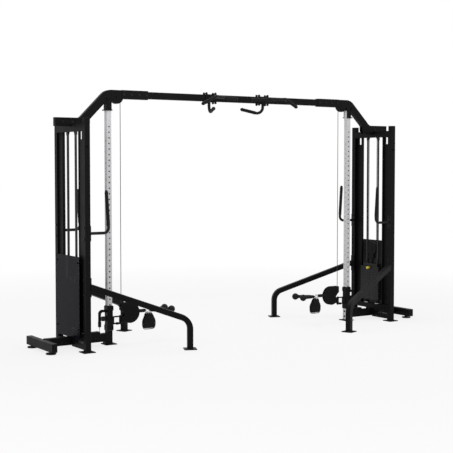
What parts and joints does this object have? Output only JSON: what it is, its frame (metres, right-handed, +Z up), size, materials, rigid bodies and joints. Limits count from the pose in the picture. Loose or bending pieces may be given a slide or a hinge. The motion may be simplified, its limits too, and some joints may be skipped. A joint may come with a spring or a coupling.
{
  "type": "cable crossover machine",
  "caption": "Cable crossover machine: weight-stack towers joined by an overhead beam with pull-up grips, height-adjustable swivel pulleys on square columns, cuffs and ball-end handles.",
  "frame": {"origin": "on the floor, at the bottom centre of the machine's bounding box", "axes": "+X along the crossbeam towards the right tower, -Y towards the user in front of the machine, +Z up"},
  "size_m": [4.148, 1.3974, 2.306],
  "materials": {
    "frame_black": "satin powder coat",
    "carriage_black": "satin",
    "column_silver": "satin silver",
    "grip_black": "ribbed rubber sleeve over painted tube",
    "bolt_steel": "black oxide",
    "link_steel": "polished",
    "guide_chrome": "dark, oiled and polished",
    "weight_iron": "painted, slightly rough",
    "pulley_nylon": "moulded",
    "pin_yellow": "gloss",
    "foot_plastic": "moulded",
    "rubber_black": "matt",
    "handle_rubber": "smooth matt",
    "cuff_fabric": "woven, padded",
    "cable_black": "coated wire rope",
    "smoked_acrylic": "smoked, clear"
  },
  "bodies": {
    "frame": {"crossbeam": "frame_black", "beam_sleeves": "frame_black", "grip_clamps": "frame_black", "wide_grips": "grip_black", "neutral_grips": "grip_black", "frame_bolts": "bolt_steel", "crossbar_feet": "foot_plastic", "rubber_fittings": "rubber_black", "guard_strips": "frame_black", "shields": "smoked_acrylic", "guide_rods": "guide_chrome", "tower_handles": "grip_black", "column_brackets": "frame_black", "cross_members": "frame_black", "pulley_cheeks": "frame_black", "stabiliser_legs": "frame_black", "base_beams": "frame_black", "idle_cables": "cable_black", "left_uprights": "frame_black", "left_gooseneck": "frame_black", "left_column": "column_silver", "left_weight_plates": "weight_iron", "left_column_cable": "cable_black", "left_stack_cable": "cable_black", "left_low_cable": "cable_black", "right_uprights": "frame_black", "right_gooseneck": "frame_black", "right_column": "column_silver", "right_weight_plates": "weight_iron", "right_column_cable": "cable_black", "right_stack_cable": "cable_black", "right_low_cable": "cable_black"},
    "left_lift": {"left_lift_plates": "weight_iron", "left_floating_yoke": "frame_black"},
    "left_travelling_wheel": {"left_floating_wheel": "pulley_nylon"},
    "left_weight_pin": {"left_selector_pin": "pin_yellow"},
    "left_carriage_body": {"left_carriage": "carriage_black"},
    "left_lock_pin": {"left_pop_pin": "bolt_steel"},
    "left_swivel": {"left_swivel_housing": "carriage_black", "left_end_cable": "cable_black"},
    "left_swivel_pulley": {"left_swivel_wheel": "pulley_nylon"},
    "left_pull_end": {"left_stopper": "rubber_black", "left_carabiner": "link_steel"},
    "left_ankle_cuff": {"left_cuff": "cuff_fabric"},
    "left_pull_handle": {"left_ball_handle": "handle_rubber"},
    "left_top_pulley": {"left_beam_wheel": "pulley_nylon"},
    "right_lift": {"right_lift_plates": "weight_iron", "right_floating_yoke": "frame_black"},
    "right_travelling_wheel": {"right_floating_wheel": "pulley_nylon"},
    "right_weight_pin": {"right_selector_pin": "pin_yellow"},
    "right_carriage_body": {"right_carriage": "carriage_black"},
    "right_lock_pin": {"right_pop_pin": "bolt_steel"},
    "right_swivel": {"right_swivel_housing": "carriage_black", "right_end_cable": "cable_black"},
    "right_swivel_pulley": {"right_swivel_wheel": "pulley_nylon"},
    "right_pull_end": {"right_stopper": "rubber_black", "right_carabiner": "link_steel"},
    "right_ankle_cuff": {"right_cuff": "cuff_fabric"},
    "right_pull_handle": {"right_ball_handle": "handle_rubber"},
    "right_top_pulley": {"right_beam_wheel": "pulley_nylon"}
  },
  "joints": [
    {"name": "left_stack_lift", "type": "slide", "parent": "frame", "child": "left_lift", "axis": [0, 0, 1], "range_m": [0, 0.35], "deforming": ["left_stack_cable"]},
    {"name": "left_travelling_wheel_spin", "type": "hinge", "parent": "left_lift", "child": "left_travelling_wheel", "pos_m": [-1.73, 0, 0.741], "axis": [1, 0, 0], "continuous": true},
    {"name": "left_weight_pin_pull", "type": "slide", "parent": "left_lift", "child": "left_weight_pin", "axis": [1, 0, 0], "range_m": [0, 0.07]},
    {"name": "left_column_slide", "type": "slide", "parent": "frame", "child": "left_carriage_body", "axis": [0, 0, 1], "range_m": [0, 1.5], "deforming": ["left_column_cable", "left_low_cable"]},
    {"name": "left_lock_pin_pull", "type": "slide", "parent": "left_carriage_body", "child": "left_lock_pin", "axis": [-1, 0, 0], "range_m": [0, 0.006], "stiffness_N_per_m": 1500, "springref_m": -0.004},
    {"name": "left_housing_swivel", "type": "hinge", "parent": "left_carriage_body", "child": "left_swivel", "pos_m": [-1.262, 0, 0.21], "axis": [0, 0, 1], "range_deg": [-60, 60]},
    {"name": "left_swivel_pulley_spin", "type": "hinge", "parent": "left_swivel", "child": "left_swivel_pulley", "pos_m": [-1.218, 0, 0.316], "axis": [0, 1, 0], "continuous": true},
    {"name": "left_cable_pull", "type": "slide", "parent": "left_swivel", "child": "left_pull_end", "axis": [1, 0, 0], "range_m": [0, 0.7]},
    {"name": "left_cuff_swing", "type": "hinge", "parent": "left_pull_end", "child": "left_ankle_cuff", "pos_m": [-0.97, 0, 0.264], "axis": [1, 0, 0], "range_deg": [-30, 30]},
    {"name": "left_handle_tilt", "type": "hinge", "parent": "left_pull_end", "child": "left_pull_handle", "pos_m": [-0.967, 0, 0.277], "axis": [0, 1, 0], "range_deg": [-35, 3]},
    {"name": "left_top_pulley_spin", "type": "hinge", "parent": "frame", "child": "left_top_pulley", "pos_m": [-1.293, 0, 2.23], "axis": [0, 1, 0], "continuous": true},
    {"name": "right_stack_lift", "type": "slide", "parent": "frame", "child": "right_lift", "axis": [0, 0, 1], "range_m": [0, 0.35], "deforming": ["right_stack_cable"]},
    {"name": "right_travelling_wheel_spin", "type": "hinge", "parent": "right_lift", "child": "right_travelling_wheel", "pos_m": [1.73, 0, 0.741], "axis": [1, 0, 0], "continuous": true},
    {"name": "right_weight_pin_pull", "type": "slide", "parent": "right_lift", "child": "right_weight_pin", "axis": [-1, 0, 0], "range_m": [0, 0.07]},
    {"name": "right_column_slide", "type": "slide", "parent": "frame", "child": "right_carriage_body", "axis": [0, 0, 1], "range_m": [0, 1.5], "deforming": ["right_column_cable", "right_low_cable"]},
    {"name": "right_lock_pin_pull", "type": "slide", "parent": "right_carriage_body", "child": "right_lock_pin", "axis": [1, 0, 0], "range_m": [0, 0.006], "stiffness_N_per_m": 1500, "springref_m": -0.004},
    {"name": "right_housing_swivel", "type": "hinge", "parent": "right_carriage_body", "child": "right_swivel", "pos_m": [1.262, 0, 0.21], "axis": [0, 0, 1], "range_deg": [-60, 60]},
    {"name": "right_swivel_pulley_spin", "type": "hinge", "parent": "right_swivel", "child": "right_swivel_pulley", "pos_m": [1.218, 0, 0.316], "axis": [0, 1, 0], "continuous": true},
    {"name": "right_cable_pull", "type": "slide", "parent": "right_swivel", "child": "right_pull_end", "axis": [-1, 0, 0], "range_m": [0, 0.7]},
    {"name": "right_cuff_swing", "type": "hinge", "parent": "right_pull_end", "child": "right_ankle_cuff", "pos_m": [0.97, 0, 0.264], "axis": [1, 0, 0], "range_deg": [-30, 30]},
    {"name": "right_handle_tilt", "type": "hinge", "parent": "right_pull_end", "child": "right_pull_handle", "pos_m": [0.967, 0, 0.277], "axis": [0, 1, 0], "range_deg": [-3, 35]},
    {"name": "right_top_pulley_spin", "type": "hinge", "parent": "frame", "child": "right_top_pulley", "pos_m": [1.293, 0, 2.23], "axis": [0, 1, 0], "continuous": true}
  ],
  "couplings": [
    {"joint": "left_cable_pull", "follows": "left_stack_lift", "ratio": 2},
    {"joint": "left_top_pulley_spin", "follows": "left_stack_lift", "rad_per_m": 51.282},
    {"joint": "left_swivel_pulley_spin", "follows": "left_stack_lift", "rad_per_m": -55.556},
    {"joint": "left_travelling_wheel_spin", "follows": "left_stack_lift", "rad_per_m": 16.129},
    {"joint": "right_cable_pull", "follows": "right_stack_lift", "ratio": 2},
    {"joint": "right_top_pulley_spin", "follows": "right_stack_lift", "rad_per_m": -51.282},
    {"joint": "right_swivel_pulley_spin", "follows": "right_stack_lift", "rad_per_m": 55.556},
    {"joint": "right_travelling_wheel_spin", "follows": "right_stack_lift", "rad_per_m": 16.129}
  ]
}
